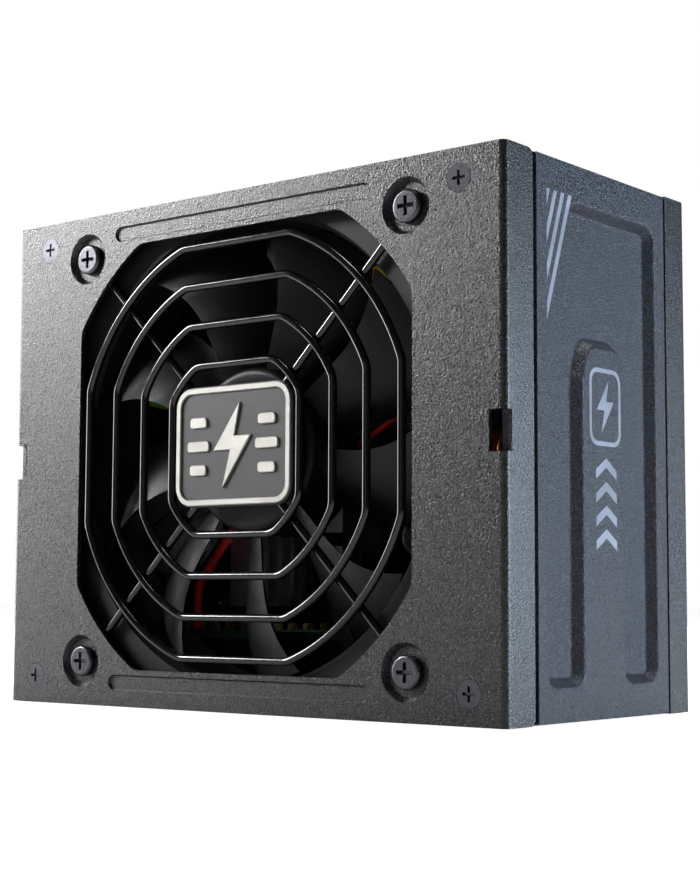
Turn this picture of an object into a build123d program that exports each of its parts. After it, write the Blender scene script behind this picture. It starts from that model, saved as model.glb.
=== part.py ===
from build123d import *
import os
from math import cos, radians, sin, tan

# A compact (SFX format) modular computer power supply, standing on its
# connector panel.  Millimetres.  +X is the width, -Y is the fan side, +Z goes
# up to the mains panel.  The origin is the centre of the face it stands on.

os.makedirs("parts", exist_ok=True)

# ---------------------------------------------------------------- dimensions
WIDTH = 125.0
DEPTH = 63.5
HEIGHT = 100.0
SHEET = 1.0
BEND = 1.2

SIDE = WIDTH / 2
FRONT = -DEPTH / 2
BACK = DEPTH / 2
MID_Z = HEIGHT / 2
INSIDE_FRONT = FRONT + SHEET
INSIDE_BACK = BACK - SHEET

COVER_FLANGE = 8.7
SIDE_PANEL_FRONT = -21.9
SIDE_PANEL_BACK = 23.2
REAR_STRIP_FRONT = 23.87
WALL_HALF = 61.4
LIP_OUT = 61.4
LIP_IN = LIP_OUT - SHEET

INTAKE_RADIUS = 50.0
INTAKE_HALF = 42.75
GROOVE_LENGTH = 66.2
GROOVE_WIDTH = 3.1
GROOVE_DEPTH = 0.5
GROOVE_OFFSET = 45.3
NOTCH_INNER_X = 59.0
NOTCH_HEIGHT = 7.2
TOP_SCREW = (52.8, 94.6 - MID_Z)
BOTTOM_SCREW = (54.8, 5.5 - MID_Z)

FAN_SIZE = 92.0
FAN_DEPTH = 15.0
FAN_HOLE = 41.25
FAN_BORE = 44.8
DIMPLE_DEPTH = 1.3
DIMPLE_RADIUS = 5.25
DIMPLE_FLOOR = 4.4
EYELET = 0.8
FAN_FRONT = FRONT + DIMPLE_DEPTH + SHEET + EYELET
FAN_BACK = FAN_FRONT + FAN_DEPTH

HUB_RADIUS = 16.0
HUB_FRONT = -27.0
HUB_BACK = -17.2
HUB_WALL = 1.2
BLADES = 9
BLADE_TIP = 43.9
SHAFT_RADIUS = 1.5
BEARING_RADIUS = 3.4
TUBE_RADIUS = 4.6
STRUT_ANGLE = 22.0
STRUT_WIDTH = 3.0
STRUT_DEPTH = 1.5

WIRE = 0.8
RING_Y = FRONT + 0.5
SPOKE_Y = RING_Y + 2 * WIRE - 0.3
RING_HALVES = (16.4, 24.3, 32.2, 40.1)
RING_RADII = (19.1, 27.0, 34.8, 42.4)
RING_CORNER = 4.0
BADGE_WIDTH = 29.9
BADGE_HEIGHT = 23.4

RECESS_DEPTH = 2.0
RECESS_SLOPE = 37.0
RECESS_FILLET = 0.7
RECESS_CORNER = 3.0
RECESS_OUTLINE = [
    (-18.9, 6.2), (-18.9, 69.3), (-10.0, 92.9), (19.5, 92.9), (19.5, 6.2),
    (7.1, 6.2), (7.1, 67.3), (-4.6, 67.3), (-6.9, 60.9), (-6.9, 6.2),
]

INLET_X, INLET_Y = -38.0, 10.0
INLET_CUT = (27.4, 20.2)
INLET_BEZEL = (31.0, 24.0)
INLET_CAVITY = (24.5, 16.5)
INLET_BOTTOM = 79.0
BEZEL_TOP = HEIGHT + 1.6
CAVITY_FLOOR = 83.5
SWITCH_X, SWITCH_Y = -12.0, 8.0
SWITCH_CUT = (13.2, 19.4)
SWITCH_BEZEL = (15.0, 21.0)
SWITCH_BOTTOM = 85.0
PIVOT_Z = 99.0
ROCKER_ANGLE = 11.0
ROCKER_RADIUS = 8.6
ROCKER_HALF_WIDTH = 5.3

MOUNT_X = 113.0
MOUNT_Y = 51.5
MOUNT_RADIUS = 1.425
VENT_FLATS = 5.0
VENT_PITCH = 6.0

BOARD = 1.6
BOARD_FRONT = 25.6
BOARD_BACK = BOARD_FRONT + BOARD
BOARD_BOTTOM = 16.5
BOARD_TOP = 94.0
BOARD_HALF = 57.0
STANDOFFS = [(-53.5, 20.5), (53.5, 20.5), (-53.5, 90.5), (53.5, 90.5), (2.0, 60.0)]

LEAD_X, LEAD_Z = 11.3, 49.5
LEAD_RADIUS = 0.65

PITCH = 4.2
CAVITY = 3.6
PIN = 1.1
SOCKET_FACE = 0.2
SOCKET_TOP = 13.4
MODULAR_BOARD_Z = 13.4
SOCKET_HEIGHT = 2 * PITCH + 1.6
ROW_1, ROW_2, ROW_3 = -6.0, 7.5, 21.0


def facing_front(y, x=0.0, z=MID_Z):
    """Plane seen from the fan side: local x is +X, local y is +Z."""
    return Plane(origin=(x, y, z), x_dir=(1, 0, 0), z_dir=(0, -1, 0))


def facing_right(x):
    """Plane seen from the +X side: local x is +Y, local y is +Z."""
    return Plane(origin=(x, 0, 0), x_dir=(0, 1, 0), z_dir=(1, 0, 0))


def block(x0, x1, y0, y1, z0, z1, mode=Mode.ADD):
    """A box between two corners, for use inside a part."""
    with Locations(((x0 + x1) / 2, (y0 + y1) / 2, (z0 + z1) / 2)):
        Box(x1 - x0, y1 - y0, z1 - z0, mode=mode)


def save(builder, name):
    """Label a finished piece and write its file."""
    builder.part.label = name
    export_step(builder.part, f"parts/{name}.step")


# ------------------------------------------------------------------ fan cover
# A channel of sheet steel: the fan side and two narrow flanges.
with BuildPart() as fan_cover:
    with BuildSketch(Plane.XY):
        with Locations((0, FRONT + COVER_FLANGE / 2)):
            outer = Rectangle(WIDTH, COVER_FLANGE)
        fillet(outer.vertices().group_by(Axis.Y)[0], BEND)
        with Locations((0, INSIDE_FRONT + COVER_FLANGE / 2)):
            Rectangle(WIDTH - 2 * SHEET, COVER_FLANGE, mode=Mode.SUBTRACT)
    extrude(amount=HEIGHT)
    flange_ends = fan_cover.edges().filter_by(Axis.X).group_by(Axis.Y)[-1]
    fillet(flange_ends, 1.5)
    with BuildSketch(facing_front(FRONT)) as intake:
        Circle(INTAKE_RADIUS)
        Rectangle(2 * INTAKE_HALF, 2 * INTAKE_HALF, mode=Mode.INTERSECT)
        fillet(intake.vertices(), 4.0)
    extrude(amount=-SHEET, mode=Mode.SUBTRACT)
    with BuildSketch(facing_front(INSIDE_FRONT + GROOVE_DEPTH)):
        with GridLocations(0, 2 * GROOVE_OFFSET, 1, 2):
            SlotOverall(GROOVE_LENGTH + 1, GROOVE_WIDTH + 1)
    extrude(amount=GROOVE_DEPTH)
    with BuildSketch(facing_front(FRONT + GROOVE_DEPTH)):
        with GridLocations(0, 2 * GROOVE_OFFSET, 1, 2):
            SlotOverall(GROOVE_LENGTH - 0.6, GROOVE_WIDTH - 0.6)
    extrude(amount=GROOVE_DEPTH, taper=-31, mode=Mode.SUBTRACT)
    with Locations(facing_front(FAN_FRONT - EYELET)):
        with GridLocations(2 * FAN_HOLE, 2 * FAN_HOLE, 2, 2):
            Cone(DIMPLE_FLOOR + 0.7, DIMPLE_RADIUS + 0.5, DIMPLE_DEPTH,
                 align=(Align.CENTER, Align.CENTER, Align.MIN))
    with Locations(facing_front(FRONT + DIMPLE_DEPTH)):
        with GridLocations(2 * FAN_HOLE, 2 * FAN_HOLE, 2, 2):
            Cone(DIMPLE_FLOOR, DIMPLE_RADIUS, DIMPLE_DEPTH,
                 align=(Align.CENTER, Align.CENTER, Align.MIN), mode=Mode.SUBTRACT)
            Hole(2.3)
    with Locations(facing_front(FRONT)):
        with Locations(TOP_SCREW, (-TOP_SCREW[0], TOP_SCREW[1]),
                       BOTTOM_SCREW, (-BOTTOM_SCREW[0], BOTTOM_SCREW[1])):
            CounterSinkHole(1.6, 2.6, depth=SHEET + 0.5, counter_sink_angle=90)
    for side in (-1, 1):
        with Locations((side * (NOTCH_INNER_X + SIDE + 1) / 2, FRONT, MID_Z)):
            Box(SIDE + 1 - NOTCH_INNER_X, 4.0, NOTCH_HEIGHT, mode=Mode.SUBTRACT)
save(fan_cover, "fan_cover")

# -------------------------------------------------------------------- chassis
# One bent sheet: back plate with the label side, mains wall on top, connector
# wall below, and narrow strips beside the back plate.
with BuildPart() as chassis:
    with Locations((0, (INSIDE_FRONT + BACK) / 2, MID_Z)):
        Box(WIDTH, BACK - INSIDE_FRONT, HEIGHT)
    back_face = chassis.faces().sort_by(Axis.Y)[-1]
    fillet(back_face.edges(), BEND)
    block(-SIDE + SHEET, SIDE - SHEET, INSIDE_FRONT, INSIDE_BACK,
          SHEET, HEIGHT - SHEET, Mode.SUBTRACT)
    for side in (-1, 1):
        with Locations((side * (WALL_HALF + 5), (INSIDE_FRONT + REAR_STRIP_FRONT) / 2, MID_Z)):
            Box(10, REAR_STRIP_FRONT - INSIDE_FRONT, HEIGHT, mode=Mode.SUBTRACT)
        # Lips that the side panels are welded to, and the cover's screw tabs.
        x0, x1 = sorted((side * LIP_IN, side * LIP_OUT))
        block(x0, x1, -20.0, 21.8, HEIGHT - 5, HEIGHT - SHEET)
        block(x0, x1, -20.0, 21.8, SHEET, 5)
        x0, x1 = sorted((side * 47.8, side * 60.0))
        block(x0, x1, INSIDE_FRONT, INSIDE_FRONT + SHEET, 90.0, HEIGHT - SHEET)
        block(x0, x1, INSIDE_FRONT, INSIDE_FRONT + SHEET, SHEET, 10.0)
    with Locations(facing_front(INSIDE_FRONT)):
        with Locations(TOP_SCREW, (-TOP_SCREW[0], TOP_SCREW[1]),
                       BOTTOM_SCREW, (-BOTTOM_SCREW[0], BOTTOM_SCREW[1])):
            Hole(1.3, depth=SHEET + 0.2)
    # Threaded collars for the four case screws.
    with Locations(Plane.XY.offset(HEIGHT - SHEET - 1.5)):
        with GridLocations(MOUNT_X, MOUNT_Y, 2, 2):
            Cylinder(2.4, 1.5, align=(Align.CENTER, Align.CENTER, Align.MIN))
    with Locations(Plane.XY.offset(HEIGHT)):
        with GridLocations(MOUNT_X, MOUNT_Y, 2, 2):
            Hole(MOUNT_RADIUS, depth=5)
    # Mains wall: cut-outs and a honeycomb vent round them.
    with BuildSketch(Plane.XY.offset(HEIGHT)):
        with Locations((INLET_X, INLET_Y)):
            Rectangle(*INLET_CUT)
        with Locations((SWITCH_X, SWITCH_Y)):
            Rectangle(*SWITCH_CUT)
        row_step = VENT_PITCH * sin(radians(60))
        for row in range(-4, 5):
            shift = VENT_PITCH / 2 if row % 2 else 0.0
            for column in range(-8, 9):
                x, y = column * VENT_PITCH + shift, row * row_step - 1.0
                beside = x > 2.5 and y < 26
                above = y < -9.0 and x > -51.0
                if (beside or above) and x < 51.5:
                    with Locations((x, y)):
                        RegularPolygon(VENT_FLATS / 2, 6, major_radius=False, rotation=30)
    extrude(amount=-SHEET, mode=Mode.SUBTRACT)
    # Connector wall: one window for each socket row group.
    with BuildSketch(Plane.XY):
        for x, y, columns in ((-21.5, ROW_1, 9), (15.5, ROW_1, 5), (41.5, ROW_1, 3),
                              (-41.0, ROW_2, 4), (-13.7, ROW_2, 4), (13.7, ROW_2, 4),
                              (41.0, ROW_2, 4), (-41.0, ROW_3, 3), (-13.7, ROW_3, 3)):
            with Locations((x, y)):
                Rectangle(columns * PITCH + 2.0, SOCKET_HEIGHT + 0.4)
            with Locations((x, y + SOCKET_HEIGHT / 2 + 1.0)):
                Rectangle(5.0, 2.4)
    extrude(amount=SHEET, mode=Mode.SUBTRACT)
save(chassis, "chassis")

# ---------------------------------------------------------------- side panels
# Sheet with a pressed recess shaped like an upside-down U, and joggled lips
# that tuck behind the cover's flange and the chassis' rear strip.
def recess_sketch(x, grow):
    """The recess outline on a plane at x, grown outwards by some amount."""
    with BuildSketch(facing_right(x)) as outline:
        Polygon(*RECESS_OUTLINE, align=None)
        fillet(outline.vertices(), RECESS_CORNER)
        if grow:
            offset(amount=grow)
    return outline.sketch


with BuildPart() as recess_tool:
    extrude(recess_sketch(SIDE, 0), amount=-RECESS_DEPTH, taper=RECESS_SLOPE)
    fillet(recess_tool.faces().sort_by(Axis.X)[0].edges(), RECESS_FILLET)

with BuildPart() as side_panel_right:
    block(SIDE - SHEET, SIDE, SIDE_PANEL_FRONT, SIDE_PANEL_BACK, 0.3, HEIGHT - 0.3)
    extrude(recess_sketch(SIDE - SHEET / 2, 0.8), amount=-RECESS_DEPTH - SHEET / 2, taper=30)
    for y0, y1, web in ((-29.6, SIDE_PANEL_FRONT + SHEET, SIDE_PANEL_FRONT),
                        (SIDE_PANEL_BACK - SHEET, 29.5, SIDE_PANEL_BACK - SHEET)):
        block(LIP_IN, LIP_OUT, y0, y1, 5.5, HEIGHT - 5.5)
        block(LIP_IN, SIDE - SHEET / 2, web, web + SHEET, 5.5, HEIGHT - 5.5)
    add(recess_tool.part, mode=Mode.SUBTRACT)
    rim_edges = side_panel_right.faces().sort_by(Axis.X)[-1].inner_wires()[0].edges()
    fillet(rim_edges, RECESS_FILLET)
save(side_panel_right, "side_panel_right")

with BuildPart() as side_panel_left:
    add(side_panel_right.part)
    mirror(about=Plane.YZ, mode=Mode.REPLACE)
save(side_panel_left, "side_panel_left")

# --------------------------------------------------------------- case screws
with BuildPart() as cover_screws:
    with Locations(facing_front(FRONT)):
        with Locations(TOP_SCREW, (-TOP_SCREW[0], TOP_SCREW[1]),
                       BOTTOM_SCREW, (-BOTTOM_SCREW[0], BOTTOM_SCREW[1])):
            Cone(1.5, 2.5, SHEET, align=(Align.CENTER, Align.CENTER, Align.MAX))
            with Locations((0, 0, -SHEET)):
                Cylinder(1.25, 4.5, align=(Align.CENTER, Align.CENTER, Align.MAX))
            for turn in (0, 90):
                Box(0.55, 2.7, 1.2, rotation=(0, 0, turn), mode=Mode.SUBTRACT)
save(cover_screws, "cover_screws")

with BuildPart() as fan_screws:
    with Locations(facing_front(FRONT + DIMPLE_DEPTH)):
        with GridLocations(2 * FAN_HOLE, 2 * FAN_HOLE, 2, 2):
            Cylinder(3.1, 1.4, align=(Align.CENTER, Align.CENTER, Align.MIN))
            Cylinder(2.05, 11.0, align=(Align.CENTER, Align.CENTER, Align.MAX))
    head_rims = fan_screws.edges().filter_by(GeomType.CIRCLE).group_by(Axis.Y)[0]
    fillet(head_rims, 0.6)
    with Locations(facing_front(FRONT - 0.1)):
        with GridLocations(2 * FAN_HOLE, 2 * FAN_HOLE, 2, 2):
            for turn in (0, 90):
                Box(0.75, 3.6, 2.0, rotation=(0, 0, turn), mode=Mode.SUBTRACT)
save(fan_screws, "fan_screws")

# -------------------------------------------------------------------- grille
# Four rings of wire, four diagonal spokes behind them with flattened eyelets
# under the cover, and a badge on a small welded disc in the middle.
with BuildPart() as grille_rings:
    for half, radius in zip(RING_HALVES, RING_RADII):
        with BuildSketch(facing_front(RING_Y), mode=Mode.PRIVATE) as ring:
            Circle(radius)
            Rectangle(2 * half, 2 * half, mode=Mode.INTERSECT)
            fillet(ring.vertices(), RING_CORNER)
        path = ring.sketch.face().outer_wire()
        with BuildSketch(Plane(origin=path @ 0, z_dir=path % 0)) as wire_section:
            Circle(WIRE)
        sweep(sections=wire_section.sketch, path=path)
save(grille_rings, "grille_rings")

SPOKE_END = FAN_HOLE * 2 ** 0.5
with BuildPart() as grille_spokes:
    for quarter in range(4):
        angle = 45 + 90 * quarter
        along = (cos(radians(angle)), 0, sin(radians(angle)))
        start = (6 * along[0], SPOKE_Y, MID_Z + 6 * along[2])
        with Locations(Plane(origin=start, z_dir=along, x_dir=(0, 1, 0))):
            Cylinder(WIRE, SPOKE_END - 6 - 6.2, align=(Align.CENTER, Align.CENTER, Align.MIN))
        with Locations(facing_front(FAN_FRONT)):
            with PolarLocations(SPOKE_END, 1, start_angle=angle):
                Cylinder(4.1, EYELET, align=(Align.CENTER, Align.CENTER, Align.MIN))
                Box(8.0, 2.4, EYELET, align=(Align.MAX, Align.CENTER, Align.MIN))
                Cylinder(2.2, 4 * EYELET, mode=Mode.SUBTRACT)
save(grille_spokes, "grille_spokes")

with BuildPart() as badge_backplate:
    with Locations(facing_front(SPOKE_Y + WIRE - 0.1)):
        Cylinder(8.5, 0.8, align=(Align.CENTER, Align.CENTER, Align.MAX))
save(badge_backplate, "badge_backplate")

with BuildPart() as grille_badge:
    with BuildSketch(facing_front(SPOKE_Y - WIRE, 0, 50.6)) as badge_outline:
        RectangleRounded(BADGE_WIDTH, BADGE_HEIGHT, 4.0)
    extrude(amount=1.3)
    chamfer(grille_badge.faces().sort_by(Axis.Y)[0].edges(), 0.35)
    with BuildSketch(facing_front(SPOKE_Y - WIRE - 1.3, 0, 50.6)):
        RectangleRounded(BADGE_WIDTH - 3.0, BADGE_HEIGHT - 3.0, 2.8)
    extrude(amount=-0.3, mode=Mode.SUBTRACT)
save(grille_badge, "grille_badge")

# ----------------------------------------------------------------------- fan
HOUSING_PLATE = FAN_BACK - STRUT_DEPTH
with BuildPart() as fan_frame:
    with BuildSketch(facing_front(FAN_BACK)):
        RectangleRounded(FAN_SIZE, FAN_SIZE, 3.5)
        Circle(FAN_BORE, mode=Mode.SUBTRACT)
        with GridLocations(2 * FAN_HOLE, 2 * FAN_HOLE, 2, 2):
            Circle(2.15, mode=Mode.SUBTRACT)
    extrude(amount=FAN_DEPTH)
    # Flared mouth towards the cover.
    with Locations(facing_front(FAN_FRONT)):
        Cone(FAN_BORE, FAN_BORE + 1.0, 2.0, mode=Mode.SUBTRACT,
             align=(Align.CENTER, Align.CENTER, Align.MAX))
    with Locations(facing_front(FAN_BACK)):
        Cylinder(HUB_RADIUS + 0.5, STRUT_DEPTH, align=(Align.CENTER, Align.CENTER, Align.MIN))
        Cylinder(TUBE_RADIUS, FAN_BACK + 24.2, align=(Align.CENTER, Align.CENTER, Align.MIN))
        with PolarLocations(0, 4, start_angle=STRUT_ANGLE):
            with Locations((31, 0, 0)):
                Box(31, STRUT_WIDTH, STRUT_DEPTH, align=(Align.CENTER, Align.CENTER, Align.MIN))
    with Locations(facing_front(HOUSING_PLATE + 0.5)):
        Cylinder(BEARING_RADIUS, 20, mode=Mode.SUBTRACT,
                 align=(Align.CENTER, Align.CENTER, Align.MIN))
    # Slot that the fan leads come out of.
    with Locations(facing_front(FAN_BACK)):
        with Locations((LEAD_X, LEAD_Z - MID_Z)):
            Box(2.4, 4.6, 6.0, mode=Mode.SUBTRACT)
save(fan_frame, "fan_frame")

BLADE_STATIONS = [
    # radius, leading-edge angle, angular span, front y, rear y, thickness
    (14.9, 117.0, 27.0, -25.9, -17.7, 1.5),
    (21.0, 117.3, 26.5, -26.2, -17.0, 1.4),
    (29.0, 117.6, 26.0, -26.3, -16.5, 1.2),
    (37.0, 121.8, 26.0, -26.4, -16.3, 1.1),
    (45.0, 129.0, 25.5, -26.4, -16.2, 1.0),
]
EDGE = 0.5
CAMBER = 1.3


def blade_section(station, turn):
    """A thin cambered profile standing across the radius."""
    radius, leading, span, y_front, y_rear, thickness = station
    middle = radians(leading - span / 2 + turn)
    outward = (cos(middle), 0, sin(middle))
    around = (-sin(middle), 0, cos(middle))
    centre_y = (y_front + y_rear) / 2
    plane = Plane(origin=(radius * outward[0], centre_y, MID_Z + radius * outward[2]),
                  x_dir=around, z_dir=outward)
    half = radius * tan(radians(span / 2))
    rise = (y_rear - y_front) / 2
    with BuildSketch(plane) as section:
        with BuildLine():
            upper = ThreePointArc((-half, -rise + EDGE / 2), (0, CAMBER + thickness / 2),
                                  (half, rise))
            nose = Line(upper @ 1, (half, rise - EDGE))
            lower = ThreePointArc(nose @ 1, (0, CAMBER - thickness / 2),
                                  (-half, -rise - EDGE / 2))
            Line(lower @ 1, upper @ 0)
        make_face()
    return section.sketch.face()


with BuildPart() as fan_impeller:
    for blade in range(BLADES):
        loft([blade_section(station, blade * 360 / BLADES) for station in BLADE_STATIONS])
    with Locations(facing_front(0)):
        Cylinder(BLADE_TIP, 100, mode=Mode.INTERSECT)
    with BuildPart(facing_front(HUB_BACK), mode=Mode.PRIVATE) as hub:
        Cylinder(HUB_RADIUS, HUB_BACK - HUB_FRONT, align=(Align.CENTER, Align.CENTER, Align.MIN))
        fillet(hub.faces().sort_by(Axis.Y)[0].edges(), 1.5)
    add(hub.part)
    with Locations(facing_front(HUB_FRONT + HUB_WALL)):
        Cylinder(HUB_RADIUS - HUB_WALL, 20, mode=Mode.SUBTRACT,
                 align=(Align.CENTER, Align.CENTER, Align.MAX))
        Cylinder(3.2, 1.2, align=(Align.CENTER, Align.CENTER, Align.MAX))
        Cylinder(SHAFT_RADIUS, 4.0, mode=Mode.SUBTRACT,
                 align=(Align.CENTER, Align.CENTER, Align.CENTER))
    with Locations(facing_front(HUB_FRONT)):
        Cylinder(2.2, 0.6, align=(Align.CENTER, Align.CENTER, Align.MAX))
save(fan_impeller, "fan_impeller")

# ----------------------------------------------------------------- fan motor
def fan_ring(y_front, y_back, outside, inside):
    """A round part on the fan's axis, between two depths."""
    with Locations(facing_front(y_back)):
        Cylinder(outside, y_back - y_front, align=(Align.CENTER, Align.CENTER, Align.MIN))
        if inside:
            Cylinder(inside, 3 * (y_back - y_front), mode=Mode.SUBTRACT)


with BuildPart() as fan_shaft:
    fan_ring(HUB_FRONT + 0.7, HOUSING_PLATE - 0.3, SHAFT_RADIUS, 0)
save(fan_shaft, "fan_shaft")

with BuildPart() as fan_yoke:
    fan_ring(HUB_FRONT + HUB_WALL + 0.2, HUB_BACK - 0.2, HUB_RADIUS - HUB_WALL, 14.0)
save(fan_yoke, "fan_yoke")

with BuildPart() as fan_magnet:
    fan_ring(HUB_FRONT + 2.2, HUB_BACK - 0.4, 14.0, 12.4)
save(fan_magnet, "fan_magnet")

with BuildPart() as fan_bearing:
    fan_ring(-24.0, HOUSING_PLATE + 0.5, BEARING_RADIUS, SHAFT_RADIUS + 0.03)
save(fan_bearing, "fan_bearing")

with BuildPart() as fan_stator:
    with BuildSketch(facing_front(-18.6)):
        Circle(6.6)
        with PolarLocations(0, 4):
            with Locations((7.5, 0)):
                Rectangle(7.0, 3.0)
        with BuildSketch(mode=Mode.PRIVATE) as pole_shoes:
            Circle(11.9)
            Circle(10.3, mode=Mode.SUBTRACT)
            with PolarLocations(11, 4, start_angle=45):
                Rectangle(6.0, 3.0, mode=Mode.SUBTRACT)
        add(pole_shoes.sketch)
        Circle(TUBE_RADIUS, mode=Mode.SUBTRACT)
    extrude(amount=5.0)
save(fan_stator, "fan_stator")

with BuildPart() as fan_coils:
    with Locations(facing_front(-21.1)):
        with PolarLocations(8.35, 4):
            Box(3.2, 5.0, 7.4)
            Box(5.0, 3.0, 5.0, mode=Mode.SUBTRACT)
save(fan_coils, "fan_coils")

with BuildPart() as fan_board:
    fan_ring(-16.6, -15.6, 12.6, TUBE_RADIUS)
    with Locations(facing_front(-16.6)):
        with PolarLocations(8.8, 3, start_angle=20):
            Box(3.0, 2.6, 0.6, align=(Align.CENTER, Align.CENTER, Align.MIN))
save(fan_board, "fan_board")

# -------------------------------------------------------------- mains inlet
INLET_PINS = [(INLET_X - 7.0, INLET_Y + 2.0), (INLET_X + 7.0, INLET_Y + 2.0),
              (INLET_X, INLET_Y - 2.0)]
TAB_END = INLET_BOTTOM - 6.3

with BuildPart() as inlet_housing:
    with BuildSketch(Plane.XY.offset(HEIGHT)):
        with Locations((INLET_X, INLET_Y)):
            RectangleRounded(*INLET_BEZEL, 2.0)
    extrude(amount=BEZEL_TOP - HEIGHT)
    fillet(inlet_housing.edges().group_by(Axis.Z)[-1], 0.6)
    block(INLET_X - INLET_CUT[0] / 2 + 0.1, INLET_X + INLET_CUT[0] / 2 - 0.1,
          INLET_Y - INLET_CUT[1] / 2 + 0.1, INLET_Y + INLET_CUT[1] / 2 - 0.1,
          INLET_BOTTOM, HEIGHT + 0.2)
    # The recess of a C14 inlet: a rectangle with two cut corners.
    with BuildSketch(Plane.XY.offset(BEZEL_TOP)) as mouth:
        with Locations((INLET_X, INLET_Y)):
            mouth_rectangle = Rectangle(*INLET_CAVITY)
        chamfer(mouth_rectangle.vertices().group_by(Axis.Y)[0], 4.0)
        fillet(mouth.vertices(), 0.8)
    extrude(amount=-(BEZEL_TOP - CAVITY_FLOOR), mode=Mode.SUBTRACT)
    # Snap wings under the panel on both short sides.
    for side in (-1, 1):
        with Locations((INLET_X + side * (INLET_CUT[0] / 2 + 0.5), INLET_Y, 96.0)):
            Box(1.4, 8.0, 5.6)
    for x, y in INLET_PINS:
        block(x - 1.0, x + 1.0, y - 2.0, y + 2.0, INLET_BOTTOM - 1, CAVITY_FLOOR + 1,
              Mode.SUBTRACT)
save(inlet_housing, "inlet_housing")

with BuildPart() as inlet_pins:
    for x, y in INLET_PINS:
        block(x - 1.0, x + 1.0, y - 2.0, y + 2.0, INLET_BOTTOM - 0.5, 98.5)
        block(x - 0.4, x + 0.4, y - 2.4, y + 2.4, TAB_END, INLET_BOTTOM)
    chamfer(inlet_pins.faces().group_by(Axis.Z)[-1].edges(), 0.4)
save(inlet_pins, "inlet_pins")

# ------------------------------------------------------------- mains switch
with BuildPart() as switch_housing:
    with BuildSketch(Plane.XY.offset(HEIGHT)):
        with Locations((SWITCH_X, SWITCH_Y)):
            RectangleRounded(*SWITCH_BEZEL, 1.5)
    extrude(amount=BEZEL_TOP - HEIGHT)
    fillet(switch_housing.edges().group_by(Axis.Z)[-1], 0.6)
    block(SWITCH_X - SWITCH_CUT[0] / 2 + 0.1, SWITCH_X + SWITCH_CUT[0] / 2 - 0.1,
          SWITCH_Y - SWITCH_CUT[1] / 2 + 0.1, SWITCH_Y + SWITCH_CUT[1] / 2 - 0.1,
          SWITCH_BOTTOM, HEIGHT + 0.2)
    block(SWITCH_X - ROCKER_HALF_WIDTH - 0.25, SWITCH_X + ROCKER_HALF_WIDTH + 0.25,
          SWITCH_Y - ROCKER_RADIUS - 0.25, SWITCH_Y + ROCKER_RADIUS + 0.25,
          SWITCH_BOTTOM + 1.5, BEZEL_TOP + 1, Mode.SUBTRACT)
    with Locations(Plane(origin=(SWITCH_X, SWITCH_Y, PIVOT_Z), z_dir=(1, 0, 0))):
        Cylinder(1.15, 12.6, mode=Mode.SUBTRACT)
    for dy in (-5.0, 1.0):
        block(SWITCH_X - 2.4, SWITCH_X + 2.4, SWITCH_Y + dy - 0.4, SWITCH_Y + dy + 0.4,
              SWITCH_BOTTOM - 1, SWITCH_BOTTOM + 2, Mode.SUBTRACT)
save(switch_housing, "switch_housing")

with BuildPart() as switch_rocker:
    tilt = radians(ROCKER_ANGLE)
    rocker_plane = Plane(origin=(SWITCH_X, SWITCH_Y, PIVOT_Z),
                         x_dir=(0, cos(tilt), sin(tilt)), z_dir=(1, 0, 0))
    with BuildSketch(rocker_plane):
        Circle(ROCKER_RADIUS)
        with BuildLine(mode=Mode.PRIVATE) as rocker_outline:
            Polyline((-9.5, 3.9), (0, 2.1), (9.5, 3.9), (9.5, -3.0), (-9.5, -3.0), close=True)
        with BuildSketch(mode=Mode.PRIVATE) as rocker_bounds:
            add(rocker_outline.line)
            make_face()
        add(rocker_bounds.sketch, mode=Mode.INTERSECT)
        Rectangle(12.0, 3.6, align=(Align.CENTER, Align.MAX), mode=Mode.SUBTRACT)
        Circle(2.0)
    extrude(amount=ROCKER_HALF_WIDTH, both=True)
    with Locations(rocker_plane):
        Cylinder(1.1, 2 * ROCKER_HALF_WIDTH + 1.8)
save(switch_rocker, "switch_rocker")

with BuildPart() as switch_terminals:
    for dy in (-5.0, 1.0):
        block(SWITCH_X - 2.4, SWITCH_X + 2.4, SWITCH_Y + dy - 0.4, SWITCH_Y + dy + 0.4,
              SWITCH_BOTTOM - 6.0, SWITCH_BOTTOM + 3.5)
save(switch_terminals, "switch_terminals")

# ------------------------------------------------------------- output sockets
def socket_solids(x, y, columns):
    """A plug housing with two rows of square cavities opening downwards."""
    width = columns * PITCH + 1.6
    block(x - width / 2, x + width / 2, y - SOCKET_HEIGHT / 2, y + SOCKET_HEIGHT / 2,
          SOCKET_FACE, SOCKET_TOP)
    block(x - 2.1, x + 2.1, y + SOCKET_HEIGHT / 2, y + SOCKET_HEIGHT / 2 + 2.0,
          SOCKET_FACE, 6.0)
    with Locations((x, y, SOCKET_FACE)):
        with GridLocations(PITCH, PITCH, columns, 2):
            Box(CAVITY, CAVITY, 2 * 10.5, mode=Mode.SUBTRACT)


def pin_holes(x, y, columns, z):
    """Square holes for a socket's pins, through whatever lies at z."""
    with Locations((x, y, z)):
        with GridLocations(PITCH, PITCH, columns, 2):
            Box(PIN, PIN, 8.0, mode=Mode.SUBTRACT)


SOCKETS = {
    "sockets_mainboard": [(-21.5, ROW_1, 9), (15.5, ROW_1, 5)],
    "sockets_8_pin": [(-41.0, ROW_2, 4), (-13.7, ROW_2, 4), (13.7, ROW_2, 4), (41.0, ROW_2, 4)],
    "sockets_6_pin": [(41.5, ROW_1, 3), (-41.0, ROW_3, 3), (-13.7, ROW_3, 3)],
}
for socket_name, places in SOCKETS.items():
    with BuildPart() as sockets:
        for x, y, columns in places:
            socket_solids(x, y, columns)
            pin_holes(x, y, columns, SOCKET_TOP)
    save(sockets, socket_name)

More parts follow.
